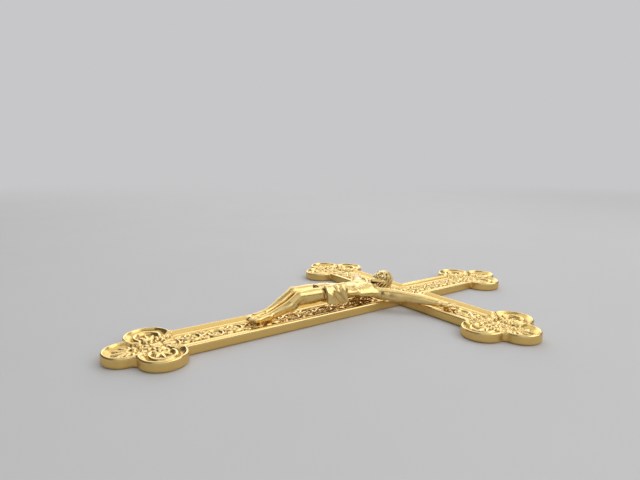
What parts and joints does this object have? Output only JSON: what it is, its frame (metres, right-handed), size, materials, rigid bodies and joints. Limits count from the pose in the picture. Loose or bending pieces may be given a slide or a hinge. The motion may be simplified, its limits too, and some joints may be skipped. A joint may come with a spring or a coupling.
{
  "type": "wall crucifix",
  "caption": "Cast wall crucifix: flat cross with clover-shaped ends, moulded rims and sunken panels, a separately cast figure nailed to it, and a swinging hanging ring behind.",
  "frame": {"origin": "under the middle of the whole cross, on the plane of its back rim", "axes": "+X along the crossbar towards the figure's left, +Y up the stem towards the top end, +Z out of the front"},
  "size_m": [0.1976, 0.2806, 0.021],
  "materials": {
    "cross_brass": "polished casting, darker in the recesses",
    "figure_brass": "polished casting",
    "fixing_brass": "satin",
    "hanger_brass": "aged satin"
  },
  "bodies": {
    "crucifix": {"cross": "cross_brass", "corpus": "figure_brass", "left_arm": "figure_brass", "right_arm": "figure_brass", "left_hand_nail": "fixing_brass", "right_hand_nail": "fixing_brass", "left_foot_nail": "fixing_brass", "right_foot_nail": "fixing_brass", "left_hand_nut": "fixing_brass", "right_hand_nut": "fixing_brass", "left_foot_nut": "fixing_brass", "right_foot_nut": "fixing_brass", "hanger_strap": "hanger_brass", "lower_rivet": "fixing_brass", "upper_rivet": "fixing_brass"},
    "ring": {"hanger_ring": "hanger_brass"}
  },
  "joints": [
    {"name": "ring_swing", "type": "hinge", "parent": "crucifix", "child": "ring", "pos_m": [0, 0.103, 0.0014], "axis": [-1, 0, 0], "range_deg": [0, 160]}
  ]
}
